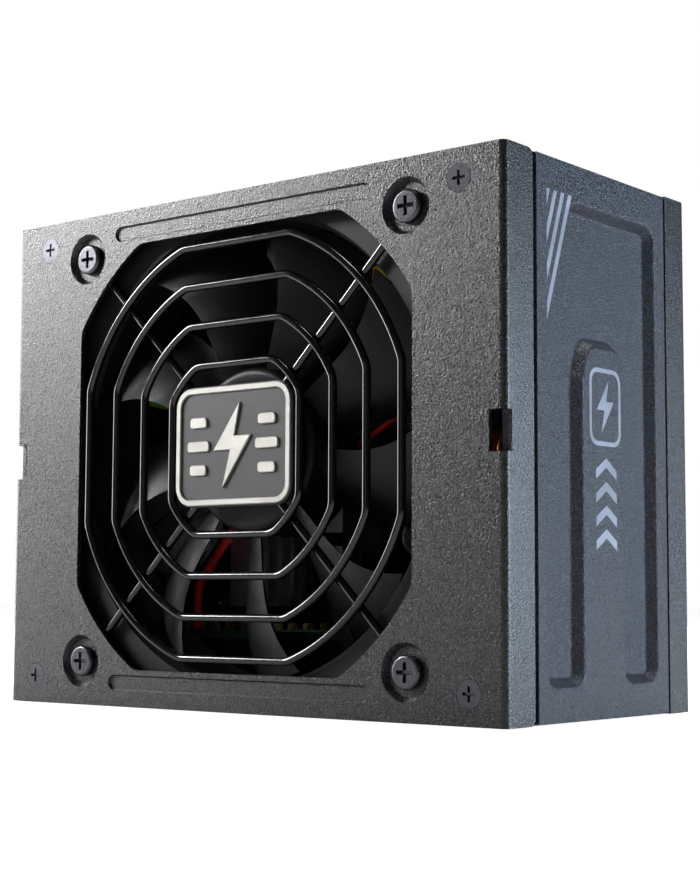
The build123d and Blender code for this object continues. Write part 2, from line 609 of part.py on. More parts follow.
with BuildPart() as socket_pins:
    for places in SOCKETS.values():
        for x, y, columns in places:
            with Locations((x, y, 3.0)):
                with GridLocations(PITCH, PITCH, columns, 2):
                    Box(PIN, PIN, 13.4, align=(Align.CENTER, Align.CENTER, Align.MIN))
save(socket_pins, "socket_pins")

with BuildPart() as modular_board:
    block(-58.0, 58.0, -12.6, 27.6, MODULAR_BOARD_Z, MODULAR_BOARD_Z + BOARD)
    for places in SOCKETS.values():
        for x, y, columns in places:
            pin_holes(x, y, columns, MODULAR_BOARD_Z)
save(modular_board, "modular_board")

# ---------------------------------------------------------------- main board
TRANSFORMER_X, TRANSFORMER_Z = 24.0, 79.5
TRANSFORMER_PINS = [(x, z) for x in (11.5, 17.5, 23.5, 29.5, 35.5) for z in (66.0, 93.5)]

with BuildPart() as main_board:
    block(-BOARD_HALF, BOARD_HALF, BOARD_FRONT, BOARD_BACK, BOARD_BOTTOM, BOARD_TOP)
    with Locations(facing_front(BOARD_FRONT, z=0)):
        with Locations(*STANDOFFS):
            Hole(1.7, depth=BOARD + 1)
        with Locations(*TRANSFORMER_PINS):
            Box(1.0, 1.0, 8.0, mode=Mode.SUBTRACT)
save(main_board, "main_board")

with BuildPart() as board_fasteners:
    with Locations(facing_front(INSIDE_BACK, z=0)):
        with Locations(*STANDOFFS):
            Cylinder(2.75, INSIDE_BACK - BOARD_BACK, align=(Align.CENTER, Align.CENTER, Align.MIN))
            Cylinder(1.3, 20.0, mode=Mode.SUBTRACT)
    with Locations(facing_front(BOARD_FRONT, z=0)):
        with Locations(*STANDOFFS):
            Cylinder(2.8, 1.8, align=(Align.CENTER, Align.CENTER, Align.MIN))
            Cylinder(1.25, 4.6, align=(Align.CENTER, Align.CENTER, Align.MAX))
            with Locations((0, 0, 1.8)):
                for turn in (0, 90):
                    Box(0.7, 3.2, 1.6, rotation=(0, 0, turn), mode=Mode.SUBTRACT)
save(board_fasteners, "board_fasteners")

with BuildPart() as insulating_sheet:
    block(-59.0, 59.0, INSIDE_BACK - 0.4, INSIDE_BACK, 16.0, 96.0)
    with Locations(facing_front(INSIDE_BACK, z=0)):
        with Locations(*STANDOFFS):
            Cylinder(3.2, 4.0, mode=Mode.SUBTRACT)
save(insulating_sheet, "insulating_sheet")


def standing(x, z, radius, height):
    """A round component standing on the main board."""
    with Locations(facing_front(BOARD_FRONT, x, z)):
        Cylinder(radius, height, align=(Align.CENTER, Align.CENTER, Align.MIN))


with BuildPart() as bulk_capacitor:
    standing(-38.0, 40.0, 15.0, 35.0)
    fillet(bulk_capacitor.faces().sort_by(Axis.Y)[0].edges(), 1.0)
save(bulk_capacitor, "bulk_capacitor")

CHOKE_X, CHOKE_Z = -38.0, 67.5
FILTER_X, FILTER_Z = -12.0, 72.0


def toroid(x, z, outside, inside, y_front, y_back):
    """A ring lying on the main board."""
    with Locations(facing_front(y_back, x, z)):
        Cylinder(outside, y_back - y_front, align=(Align.CENTER, Align.CENTER, Align.MIN))
        Cylinder(inside, 60.0, mode=Mode.SUBTRACT)


with BuildPart() as boost_choke_core:
    toroid(CHOKE_X, CHOKE_Z, 9.6, 5.4, 16.0, 24.2)
    fillet(boost_choke_core.edges().filter_by(GeomType.CIRCLE), 0.6)
save(boost_choke_core, "boost_choke_core")

with BuildPart() as boost_choke_winding:
    toroid(CHOKE_X, CHOKE_Z, 10.9, 4.1, 14.7, 25.5)
    with Locations(facing_front(20.1, CHOKE_X, CHOKE_Z)):
        Cylinder(9.6, 8.2, mode=Mode.SUBTRACT)
        Cylinder(5.4, 10.8)
        Cylinder(4.1, 12.0, mode=Mode.SUBTRACT)
    block(CHOKE_X - 3.0, CHOKE_X + 3.0, 0.0, 30.0, CHOKE_Z - 20, CHOKE_Z, Mode.SUBTRACT)
save(boost_choke_winding, "boost_choke_winding")

with BuildPart() as filter_choke_core:
    toroid(FILTER_X, FILTER_Z, 8.0, 4.6, 15.5, 24.0)
    fillet(filter_choke_core.edges().filter_by(GeomType.CIRCLE), 0.6)
save(filter_choke_core, "filter_choke_core")

with BuildPart() as filter_choke_windings:
    toroid(FILTER_X, FILTER_Z, 9.0, 3.6, 14.5, 25.0)
    with Locations(facing_front(19.75, FILTER_X, FILTER_Z)):
        Cylinder(8.0, 8.5, mode=Mode.SUBTRACT)
        Cylinder(4.6, 10.5)
        Cylinder(3.6, 12.0, mode=Mode.SUBTRACT)
    block(FILTER_X - 2.0, FILTER_X + 2.0, 0.0, 30.0, FILTER_Z - 20, FILTER_Z + 20, Mode.SUBTRACT)
save(filter_choke_windings, "filter_choke_windings")

with BuildPart() as line_capacitors:
    for z in (28.0, 40.0):
        block(-12.0, 4.0, 9.6, BOARD_FRONT, z - 4.5, z + 4.5)
    fillet(line_capacitors.edges().filter_by(Axis.Y), 0.6)
save(line_capacitors, "line_capacitors")

with BuildPart() as noise_capacitors:
    for x, z in ((0.5, 84.0), (0.5, 73.0)):
        with Locations((x, 20.0, z)):
            Cylinder(4.2, 3.2, rotation=(0, 90, 0))
            with Locations((0, 4.2, 0)):
                Box(2.4, 2.8, 6.0)
save(noise_capacitors, "noise_capacitors")

with BuildPart() as fuse:
    with Locations((-5.0, 21.4, 51.0)):
        Cylinder(2.5, 12.0, rotation=(0, 90, 0))
        with Locations((-5.5, 0, 0), (5.5, 0, 0)):
            Cylinder(2.9, 4.0, rotation=(0, 90, 0))
            with Locations((0, 2.1, 0)):
                Box(2.4, 4.2, 3.0)
save(fuse, "fuse")

with BuildPart() as primary_heatsink:
    block(-21.2, -19.2, -9.0, 24.0, 20.0, 59.0)
    for y in (-9.0, -5.0, -1.0, 3.0, 7.0):
        block(-19.3, -15.2, y, y + 1.2, 20.0, 59.0)
    for z in (24.0, 53.0):
        block(-21.2, -19.2, 23.9, BOARD_FRONT, z - 1.5, z + 1.5)
save(primary_heatsink, "primary_heatsink")

with BuildPart() as primary_transistors:
    for z in (25.5, 39.5, 53.5):
        block(-19.2, -15.0, 10.0, 19.0, z - 5.0, z + 5.0)
        for dz in (-2.54, 0, 2.54):
            block(-17.4, -16.7, 18.9, BOARD_FRONT, z + dz - 0.4, z + dz + 0.4)
save(primary_transistors, "primary_transistors")

with BuildPart() as transformer_core:
    block(8.0, 40.0, -8.6, 21.6, 66.0, 93.0)
    fillet(transformer_core.edges().filter_by(Axis.Y), 1.5)
    block(12.5, 35.5, -3.4, 16.4, 60.0, 99.0, Mode.SUBTRACT)
    with Locations(facing_front(16.5, TRANSFORMER_X, TRANSFORMER_Z)):
        Cylinder(6.5, 20.0, align=(Align.CENTER, Align.CENTER, Align.MIN))
save(transformer_core, "transformer_core")

with BuildPart() as transformer_winding:
    with Locations(facing_front(16.2, TRANSFORMER_X, TRANSFORMER_Z)):
        Cylinder(11.3, 19.4, align=(Align.CENTER, Align.CENTER, Align.MIN))
        Cylinder(6.6, 60.0, mode=Mode.SUBTRACT)
save(transformer_winding, "transformer_winding")

with BuildPart() as transformer_base:
    block(8.0, 40.0, 21.6, 24.0, 64.0, 95.0)
    with Locations(facing_front(23.9, z=0)):
        with Locations(*TRANSFORMER_PINS):
            Box(1.0, 1.0, 4.3, align=(Align.CENTER, Align.CENTER, Align.MAX))
save(transformer_base, "transformer_base")

with BuildPart() as transformer_tape:
    block(7.7, 40.3, -8.9, 20.0, 72.5, 86.5)
    block(8.0, 40.0, -8.6, 30.0, 60.0, 99.0, Mode.SUBTRACT)
save(transformer_tape, "transformer_tape")

with BuildPart() as standby_transformer:
    block(44.0, 56.0, 12.0, 23.0, 42.0, 56.0)
    block(45.0, 55.0, 9.0, BOARD_FRONT, 44.0, 54.0)
save(standby_transformer, "standby_transformer")

with BuildPart() as secondary_heatsink:
    block(45.0, 47.0, -6.0, BOARD_FRONT, 64.0, 92.0)
    for y in range(-6, 18, 4):
        block(46.9, 54.0, y, y + 1.2, 64.0, 92.0)
save(secondary_heatsink, "secondary_heatsink")

OUTPUT_CAPACITORS = [(x, z) for z in (24.0, 34.0) for x in (12.0, 21.0, 30.0, 39.0, 47.5)]
with BuildPart() as output_capacitors:
    for x, z in OUTPUT_CAPACITORS:
        standing(x, z, 4.0, 15.0)
    fillet(output_capacitors.faces().group_by(Axis.Y)[0].edges(), 0.5)
save(output_capacitors, "output_capacitors")

with BuildPart() as output_coil:
    with Locations((25.0, 18.0, 50.0)):
        Cylinder(6.8, 20.0, rotation=(0, 90, 0))
        Cylinder(2.2, 30.0, rotation=(0, 90, 0), mode=Mode.SUBTRACT)
save(output_coil, "output_coil")

with BuildPart() as control_board:
    block(4.6, 6.0, -4.0, BOARD_FRONT, 22.0, 56.0)
    for y, z, size in ((2.0, 30.0, 6.0), (2.0, 42.0, 5.0), (12.0, 36.0, 7.0), (14.0, 50.0, 4.0)):
        block(5.9, 7.2, y - size / 2, y + size / 2, z - size / 2, z + size / 2)
save(control_board, "control_board")

with BuildPart() as busbars:
    for x in (12.0, 23.0, 34.0, 45.0):
        block(x - 3.5, x + 3.5, 24.6, BOARD_FRONT, 15.0, 19.6)
save(busbars, "busbars")


# -------------------------------------------------------------------- wires
def tube(points, bends, radius):
    """A wire along straight runs joined by tangent arcs."""
    with BuildLine(mode=Mode.PRIVATE) as route:
        FilletPolyline(*points, radius=bends)
    with BuildSketch(Plane(origin=route.line @ 0, z_dir=route.line % 0)) as section:
        Circle(radius)
    sweep(sections=section.sketch, path=route.line)


PLUG_X, PLUG_Z, PLUG_TOP = 50.0, 60.5, 12.0
for lead_name, rise in (("fan_lead_red", -0.85), ("fan_lead_black", 0.85)):
    with BuildPart() as fan_lead:
        tube([(LEAD_X, -15.6, LEAD_Z + rise), (LEAD_X, -12.6, LEAD_Z + rise),
              (36.0, -12.6, 63.2 + rise), (PLUG_X, -12.6, PLUG_Z + rise),
              (PLUG_X, PLUG_TOP, PLUG_Z + rise)], [1.4, 12.0, 6.0], LEAD_RADIUS)
    save(fan_lead, lead_name)

# The plug on the leads and the header it sits in.
with BuildPart() as fan_connector:
    block(PLUG_X - 2.6, PLUG_X + 2.6, PLUG_TOP, 19.98, PLUG_Z - 3.0, PLUG_Z + 3.0)
    block(PLUG_X + 2.5, PLUG_X + 3.3, PLUG_TOP + 1, 18.0, PLUG_Z - 1.6, PLUG_Z + 1.6)
    block(PLUG_X - 3.6, PLUG_X + 4.2, 20.0, BOARD_FRONT, PLUG_Z - 3.4, PLUG_Z + 3.4)
save(fan_connector, "fan_connector")

MAINS_RADIUS = 1.2
LIVE_ROUTE = [(INLET_X + 7, INLET_Y + 2, TAB_END), (INLET_X + 7, 10.0, 63.0),
              (SWITCH_X, 4.0, 63.0), (SWITCH_X, 3.0, SWITCH_BOTTOM - 6)]
SWITCHED_ROUTE = [(SWITCH_X, 9.0, SWITCH_BOTTOM - 6), (SWITCH_X, 9.0, 66.0),
                  (-2.0, 11.0, 61.0), (-2.0, BOARD_FRONT, 61.0)]
NEUTRAL_ROUTE = [(INLET_X - 7, INLET_Y + 2, TAB_END), (INLET_X - 7, 9.0, 60.0),
                 (-24.0, 6.0, 58.5), (-24.0, BOARD_FRONT, 58.5)]
GROUND_ROUTE = [(INLET_X, INLET_Y - 2, TAB_END), (INLET_X, 3.0, 62.0),
                (-55.5, -6.0, 66.0), (-55.5, -8.0, 92.0)]

with BuildPart() as wires_live:
    tube(LIVE_ROUTE, [5.0, 6.0], MAINS_RADIUS)
    tube(SWITCHED_ROUTE, [4.0, 4.0], MAINS_RADIUS)
save(wires_live, "wires_live")

with BuildPart() as wire_neutral:
    tube(NEUTRAL_ROUTE, [5.0, 6.0], MAINS_RADIUS)
save(wire_neutral, "wire_neutral")

with BuildPart() as wire_ground:
    tube(GROUND_ROUTE, [4.0, 6.0], MAINS_RADIUS)
save(wire_ground, "wire_ground")

with BuildPart() as ground_lug:
    with Locations((-55.5, -8.0, 92.0)):
        Cylinder(1.9, 5.0, align=(Align.CENTER, Align.CENTER, Align.MIN))
    block(-57.2, -53.8, -11.0, -6.2, 96.6, 98.2)
    block(-58.5, -52.5, -16.0, -6.2, 98.2, HEIGHT - SHEET)
save(ground_lug, "ground_lug")

with BuildPart() as sense_wire:
    tube([(-9.0, BOARD_FRONT, 46.5), (-9.0, -11.3, 46.5), (-28.0, -11.3, 24.0),
          (-30.0, -9.5, MODULAR_BOARD_Z + BOARD)], [5.0, 5.0], 0.9)
save(sense_wire, "sense_wire")
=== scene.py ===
import math

import bmesh
import bpy
from mathutils import Matrix, Vector


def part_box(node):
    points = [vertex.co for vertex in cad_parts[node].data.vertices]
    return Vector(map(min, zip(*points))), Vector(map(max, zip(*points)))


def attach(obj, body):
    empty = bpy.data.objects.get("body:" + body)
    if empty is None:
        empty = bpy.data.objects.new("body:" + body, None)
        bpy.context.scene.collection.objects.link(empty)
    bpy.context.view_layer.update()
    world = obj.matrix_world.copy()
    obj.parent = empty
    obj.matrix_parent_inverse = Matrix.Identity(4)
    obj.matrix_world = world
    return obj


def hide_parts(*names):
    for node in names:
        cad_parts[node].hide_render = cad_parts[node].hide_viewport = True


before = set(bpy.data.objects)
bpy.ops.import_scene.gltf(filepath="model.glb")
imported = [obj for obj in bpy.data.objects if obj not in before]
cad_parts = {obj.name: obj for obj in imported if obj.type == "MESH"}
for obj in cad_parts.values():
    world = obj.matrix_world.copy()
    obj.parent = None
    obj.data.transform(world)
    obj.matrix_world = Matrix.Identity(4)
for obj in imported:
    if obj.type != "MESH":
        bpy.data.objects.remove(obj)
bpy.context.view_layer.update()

# A compact modular power supply, standing on its connector face.
# The CAD nodes keep their shapes.  This script gives them materials and adds the
# badge, the weld beads, the printed marks, the rating label, the coils' turns, the
# capacitors' ends, the light and the camera.  The scene is in metres.  Lengths in
# the script are in millimetres, except for the lights, the floor and the camera.

MM = 0.001


def corners(node):
    """A CAD node's lowest and highest corner, in millimetres."""
    low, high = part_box(node)
    return low / MM, high / MM


# ------------------------------------------------------------------ materials
def new_material(name, colour, roughness, metallic=0.0, specular=0.5, coat=0.0):
    """A Principled material and the few nodes that every finish here starts from."""
    material = bpy.data.materials.new(name)
    material.use_nodes = True
    nodes, links = material.node_tree.nodes, material.node_tree.links
    shader = nodes["Principled BSDF"]
    shader.inputs["Base Color"].default_value = (*colour, 1.0)
    shader.inputs["Roughness"].default_value = roughness
    shader.inputs["Metallic"].default_value = metallic
    shader.inputs["Specular IOR Level"].default_value = specular
    shader.inputs["Coat Weight"].default_value = coat
    shader.inputs["Coat Roughness"].default_value = 0.15
    place = nodes.new("ShaderNodeTexCoord")
    return material, nodes, links, shader, place


def noise(nodes, links, place, size_mm, detail=3.0, rough=0.5, stretch=None):
    """Noise whose lumps are about size_mm across; stretch lengthens it along the axes."""
    texture = nodes.new("ShaderNodeTexNoise")
    texture.inputs["Scale"].default_value = 1.0 / (size_mm * MM)
    texture.inputs["Detail"].default_value = detail
    texture.inputs["Roughness"].default_value = rough
    source = place.outputs["Object"]
    if stretch:
        mapping = nodes.new("ShaderNodeMapping")
        mapping.inputs["Scale"].default_value = stretch
        links.new(source, mapping.inputs["Vector"])
        source = mapping.outputs["Vector"]
    links.new(source, texture.inputs["Vector"])
    return texture.outputs["Fac"]


def remap(nodes, links, value, low, high, from_low=0.3, from_high=0.7):
    """Spread a noise value over low..high."""
    node = nodes.new("ShaderNodeMapRange")
    node.inputs["From Min"].default_value = from_low
    node.inputs["From Max"].default_value = from_high
    node.inputs["To Min"].default_value = low
    node.inputs["To Max"].default_value = high
    links.new(value, node.inputs["Value"])
    return node.outputs["Result"]


def two_tone(nodes, links, value, dark, light, target, start=0.35, end=0.68):
    """Colour between two tones by a value."""
    ramp = nodes.new("ShaderNodeValToRGB")
    ramp.color_ramp.elements[0].position = start
    ramp.color_ramp.elements[0].color = (*dark, 1.0)
    ramp.color_ramp.elements[1].position = end
    ramp.color_ramp.elements[1].color = (*light, 1.0)
    links.new(value, ramp.inputs["Fac"])
    links.new(ramp.outputs["Color"], target)


def bump(nodes, links, height, depth_mm, shader, strength=1.0, normal=None):
    """Relief of a given depth; a second call can sit on the first one's normal."""
    node = nodes.new("ShaderNodeBump")
    node.inputs["Distance"].default_value = depth_mm * MM
    node.inputs["Strength"].default_value = strength
    links.new(height, node.inputs["Height"])
    if normal:
        links.new(normal, node.inputs["Normal"])
    links.new(node.outputs["Normal"], shader.inputs["Normal"])
    return node.outputs["Normal"]


def powder_coat(name, dark, light, roughness, grain_mm, depth_mm):
    """Black coat baked to a fine wrinkle: small lumps with finer specks on them."""
    material, nodes, links, shader, place = new_material(name, dark, roughness)
    lumps = noise(nodes, links, place, grain_mm, 2.0, 0.6)
    specks = noise(nodes, links, place, grain_mm * 0.45, 1.0, 0.5)
    two_tone(nodes, links, lumps, dark, light, shader.inputs["Base Color"], 0.46, 0.58)
    links.new(remap(nodes, links, specks, roughness + 0.1, roughness - 0.05, 0.35, 0.65),
              shader.inputs["Roughness"])
    first = bump(nodes, links, lumps, depth_mm, shader)
    bump(nodes, links, specks, depth_mm * 0.5, shader, normal=first)
    return material


def plastic(name, colour, roughness, grain_mm=0.35, depth_mm=0.015, coat=0.0, specular=0.5):
    """Moulded plastic: a spark-eroded grain and slight uneven gloss."""
    material, nodes, links, shader, place = new_material(
        name, colour, roughness, coat=coat, specular=specular)
    grain = noise(nodes, links, place, grain_mm, 3.0, 0.6)
    cloud = noise(nodes, links, place, 9.0, 3.0)
    light = [min(1.0, c * 1.35 + 0.002) for c in colour]
    two_tone(nodes, links, cloud, [c * 0.85 for c in colour], light, shader.inputs["Base Color"])
    links.new(remap(nodes, links, grain, roughness - 0.06, roughness + 0.08),
              shader.inputs["Roughness"])
    bump(nodes, links, grain, depth_mm, shader)
    return material


def metal(name, colour, roughness, grain_mm=0.3, stretch=None, depth_mm=0.01):
    """Bare or plated metal with drawing marks along the stretched axis."""
    material, nodes, links, shader, place = new_material(name, colour, roughness, metallic=1.0)
    marks = noise(nodes, links, place, grain_mm, 4.0, 0.6, stretch)
    cloud = noise(nodes, links, place, 6.0, 3.0)
    two_tone(nodes, links, cloud, [c * 0.82 for c in colour], colour, shader.inputs["Base Color"])
    links.new(remap(nodes, links, marks, roughness - 0.08, roughness + 0.12),
              shader.inputs["Roughness"])
    bump(nodes, links, marks, depth_mm, shader)
    return material


def gloss_wire():
    """Dipped glossy coat on the grille's wires, with faint runs in it."""
    material, nodes, links, shader, place = new_material(
        "gloss_black_wire", (0.002, 0.002, 0.0025), 0.14)
    runs = noise(nodes, links, place, 1.6, 2.0)
    links.new(remap(nodes, links, runs, 0.1, 0.2), shader.inputs["Roughness"])
    bump(nodes, links, runs, 0.01, shader)
    return material


def circuit_board(name, dark, light):
    """Solder mask with copper tracks showing as slightly lighter bands."""
    material, nodes, links, shader, place = new_material(name, dark, 0.35)
    cells = nodes.new("ShaderNodeTexVoronoi")
    cells.distance = "MANHATTAN"
    cells.inputs["Scale"].default_value = 1.0 / (7.0 * MM)
    links.new(place.outputs["Object"], cells.inputs["Vector"])
    ramp = nodes.new("ShaderNodeValToRGB")
    ramp.color_ramp.interpolation = "CONSTANT"
    ramp.color_ramp.elements[0].color = (*dark, 1.0)
    ramp.color_ramp.elements[1].position = 0.34
    ramp.color_ramp.elements[1].color = (*light, 1.0)
    links.new(cells.outputs["Distance"], ramp.inputs["Fac"])
    links.new(ramp.outputs["Color"], shader.inputs["Base Color"])
    weave = noise(nodes, links, place, 0.5, 1.0)
    bump(nodes, links, weave, 0.02, shader)
    return material


def copper_wire():
    """Enamelled copper: orange metal under a clear coat."""
    material, nodes, links, shader, place = new_material(
        "enamelled_copper", (0.55, 0.2, 0.07), 0.28, metallic=0.9, coat=0.7)
    cloud = noise(nodes, links, place, 2.0, 2.0)
    two_tone(nodes, links, cloud, (0.4, 0.13, 0.045), (0.62, 0.25, 0.09),
             shader.inputs["Base Color"])
    bump(nodes, links, cloud, 0.02, shader)
    return material


COAT = powder_coat("powder_coat", (0.0015, 0.0016, 0.002), (0.021, 0.022, 0.026), 0.26, 0.4, 0.09)
PANEL = powder_coat("panel_coat", (0.004, 0.006, 0.011), (0.04, 0.048, 0.07), 0.32, 0.38, 0.2)
PLASTIC = plastic("black_nylon", (0.004, 0.004, 0.005), 0.5, specular=0.2)
FAN = plastic("fan_plastic", (0.0022, 0.0023, 0.003), 0.42, 0.3, 0.06, specular=0.24)
GLOSS = plastic("rocker_plastic", (0.01, 0.01, 0.01), 0.16, 0.8, 0.004, coat=0.4)
BADGE_FIELD = plastic("badge_field", (0.012, 0.012, 0.014), 0.5, 0.25, 0.03)
BADGE_METAL = metal("badge_rim", (0.36, 0.352, 0.33), 0.55, 0.25, depth_mm=0.06)
WIRE = gloss_wire()
SCREW = metal("black_zinc", (0.09, 0.088, 0.1), 0.3, 0.25)
STEEL = metal("plated_steel", (0.55, 0.55, 0.56), 0.3, 0.3, (1, 8, 1))
BRASS = metal("tinned_brass", (0.72, 0.6, 0.36), 0.28, 0.25, (1, 1, 6))
ALUMINIUM = metal("mill_aluminium", (0.55, 0.55, 0.56), 0.36, 0.3, (6, 1, 1))
DARK_ALUMINIUM = metal("black_anodised", (0.09, 0.09, 0.1), 0.42, 0.3, (6, 1, 1))
FERRITE = plastic("ferrite", (0.045, 0.045, 0.048), 0.6, 0.5, 0.03)
BOARD = circuit_board("solder_mask", (0.008, 0.02, 0.014), (0.014, 0.036, 0.024))
COPPER = copper_wire()
FILM = plastic("insulating_film", (0.02, 0.02, 0.02), 0.4)
SLEEVE = plastic("capacitor_sleeve", (0.014, 0.014, 0.018), 0.28, 0.8, 0.01)
TAPE = plastic("yellow_tape", (0.85, 0.5, 0.01), 0.3, 1.2, 0.02, coat=0.3)
GREY_BOX = plastic("film_capacitor_box", (0.3, 0.3, 0.31), 0.5, 0.4, 0.02)
LACQUER = plastic("blue_lacquer", (0.03, 0.1, 0.34), 0.22, 0.9, 0.02, coat=0.5)
CERAMIC = plastic("fuse_ceramic", (0.62, 0.6, 0.55), 0.4)
EPOXY = plastic("moulded_epoxy", (0.02, 0.02, 0.021), 0.5)
RED = plastic("red_insulation", (0.5, 0.012, 0.01), 0.35, 1.0, 0.01)
BLACK_LEAD = plastic("black_insulation", (0.012, 0.012, 0.012), 0.35, 1.0, 0.01)
BROWN = plastic("brown_insulation", (0.14, 0.055, 0.02), 0.38, 1.0, 0.01)
BLUE = plastic("blue_insulation", (0.02, 0.06, 0.32), 0.38, 1.0, 0.01)
GREEN = plastic("green_insulation", (0.1, 0.3, 0.03), 0.38, 1.0, 0.01)
WHITE = plastic("white_nylon", (0.7, 0.68, 0.62), 0.45)
INK = plastic("printed_ink", (0.22, 0.245, 0.3), 0.5, 0.4, 0.01)
MARK = plastic("white_ink", (0.7, 0.7, 0.7), 0.5)
LABEL = plastic("label_foil", (0.03, 0.03, 0.034), 0.32, 3.0, 0.01)

# The CAD nodes that have each finish.
FINISHES = {
    COAT: ("fan_cover", "chassis"),
    PANEL: ("side_panel_right", "side_panel_left"),
    SCREW: ("cover_screws", "fan_screws"),
    WIRE: ("grille_rings", "grille_spokes", "badge_backplate"),
    BADGE_FIELD: ("grille_badge",),
    PLASTIC: ("fan_frame", "inlet_housing", "switch_housing", "sockets_mainboard",
              "sockets_8_pin", "sockets_6_pin", "transformer_base"),
    FAN: ("fan_impeller",),
    GLOSS: ("switch_rocker",),
    STEEL: ("fan_shaft", "fan_yoke", "fan_stator", "board_fasteners", "ground_lug"),
    BRASS: ("fan_bearing", "inlet_pins", "switch_terminals", "socket_pins"),
    FERRITE: ("fan_magnet", "boost_choke_core", "filter_choke_core", "transformer_core"),
    COPPER: ("fan_coils", "boost_choke_winding", "filter_choke_windings",
             "transformer_winding", "output_coil", "busbars"),
    BOARD: ("fan_board", "modular_board", "main_board", "control_board"),
    FILM: ("insulating_sheet",),
    SLEEVE: ("bulk_capacitor", "output_capacitors"),
    GREY_BOX: ("line_capacitors",),
    LACQUER: ("noise_capacitors",),
    CERAMIC: ("fuse",),
    ALUMINIUM: ("primary_heatsink",),
    DARK_ALUMINIUM: ("secondary_heatsink",),
    EPOXY: ("primary_transistors",),
    TAPE: ("transformer_tape", "standby_transformer"),
    RED: ("fan_lead_red", "sense_wire"),
    BLACK_LEAD: ("fan_lead_black",),
    BROWN: ("wires_live",),
    BLUE: ("wire_neutral",),
    GREEN: ("wire_ground",),
    WHITE: ("fan_connector",),
}
for material, nodes_with_it in FINISHES.items():
    for node in nodes_with_it:
        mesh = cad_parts[node].data
        mesh.materials.clear()
        mesh.materials.append(material)


# --------------------------------------------------------------- small pieces
def add_piece(name, mesh, material, body):
    """Put a finished mesh in the scene, riding on a CAD body."""
    piece = bpy.data.objects.new(name, mesh)
    bpy.context.scene.collection.objects.link(piece)
    mesh.materials.append(material)
    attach(piece, body)
    return piece


def finished(mesh, name, smooth=False):
    """Turn a bmesh into a mesh with outward normals."""
    bmesh.ops.recalc_face_normals(mesh, faces=mesh.faces)
    for face in mesh.faces:
        face.smooth = smooth and len(face.verts) == 4
    data = bpy.data.meshes.new(name)
    mesh.to_mesh(data)
    mesh.free()
    return data


def joined(name, meshes):
    """One mesh out of several."""
    mesh = bmesh.new()
    for part in meshes:
        mesh.from_mesh(part)
        bpy.data.meshes.remove(part)
    data = bpy.data.meshes.new(name)
    mesh.to_mesh(data)
    mesh.free()
    return data


def skin(mesh, rings):
    """Four-sided faces from each ring of vertices to the next."""
    for low, high in zip(rings, rings[1:]):
        for i in range(len(low)):
            j = (i + 1) % len(low)
            mesh.faces.new((low[i], low[j], high[j], high[i]))


def circle(mesh, centre, side, other, radius, steps):
    """A ring of vertices about a centre, in the plane of two unit vectors."""
    ring = []
    for step in range(steps):
        angle = 2 * math.pi * step / steps
        spoke = side * math.cos(angle) + other * math.sin(angle)
        ring.append(mesh.verts.new((centre + spoke * radius) * MM))
    return ring


# A corner's mitre is divided by one plus the cosine of its turn, and never by less
# than this, so that a sharp corner doesn't move far.
LEAST_MITRE = 0.4


def inset_outline(outline, inset):
    """Move each side of a closed outline inwards by inset."""
    if not inset:
        return outline
    area = sum(a[0] * b[1] - b[0] * a[1] for a, b in zip(outline, outline[1:] + outline[:1]))
    sign = 1.0 if area > 0 else -1.0
    moved = []
    count = len(outline)
    for i in range(count):
        before = Vector(outline[i]) - Vector(outline[i - 1])
        after = Vector(outline[(i + 1) % count]) - Vector(outline[i])
        normal_a = Vector((-before.y, before.x)).normalized() * sign
        normal_b = Vector((-after.y, after.x)).normalized() * sign
        mean = normal_a + normal_b
        mean = mean / max(mean.dot(mean) / 2, LEAST_MITRE)
        moved.append(tuple(Vector(outline[i]) + mean * inset))
    return moved


def prism_mesh(name, outlines, place, thickness, bevel=0.0):
    """Flat outlines raised by a thickness, with a small bevel on the top edge.

    place(x, y, height) gives the point in metres.
    """
    mesh = bmesh.new()
    levels = ((0.0, 0.0), (thickness - bevel, 0.0), (thickness, bevel))
    for outline in outlines:
        rings = []
        for height, inset in levels:
            rings.append([mesh.verts.new(place(x, y, height))
                          for x, y in inset_outline(outline, inset)])
        skin(mesh, rings)
        mesh.faces.new(rings[-1])
        mesh.faces.new(list(reversed(rings[0])))
    return finished(mesh, name)


def ring_mesh(name, outer, inner, place, thickness, bevel=0.0):
    """A raised band between two outlines with the same number of points."""
    mesh = bmesh.new()
    levels = ((outer, 0.0, 0.0), (outer, 0.0, thickness - bevel), (outer, bevel, thickness),
              (inner, -bevel, thickness), (inner, 0.0, thickness - bevel), (inner, 0.0, 0.0))
    rings = []
    for outline, inset, height in levels:
        rings.append([mesh.verts.new(place(x, y, height))
                      for x, y in inset_outline(outline, inset)])
    rings.append(rings[0])
    skin(mesh, rings)
    return finished(mesh, name)


def rounded_rectangle(width, height, radius, steps=6):
    """Points round a rectangle with quarter-circle corners."""
    points = []
    for quarter in range(4):
        turn = math.radians(90 * quarter)
        cx = (width / 2 - radius) * (1 if quarter in (0, 3) else -1)
        cy = (height / 2 - radius) * (1 if quarter in (0, 1) else -1)
        for step in range(steps + 1):
            angle = turn + math.radians(90 * step / steps)
            points.append((cx + radius * math.cos(angle), cy + radius * math.sin(angle)))
    return points


def lathe_mesh(name, profile, origin, axis, steps=32):
    """Turn (along, radius) points about an axis through origin."""
    axis = Vector(axis).normalized()
    side = axis.orthogonal().normalized()
    other = axis.cross(side)
    mesh = bmesh.new()
    rings = []
    for along, radius in profile:
        rings.append(circle(mesh, Vector(origin) + axis * along, side, other, radius, steps))
    skin(mesh, rings)
    mesh.faces.new(list(reversed(rings[0])))
    mesh.faces.new(rings[-1])
    return finished(mesh, name, smooth=True)


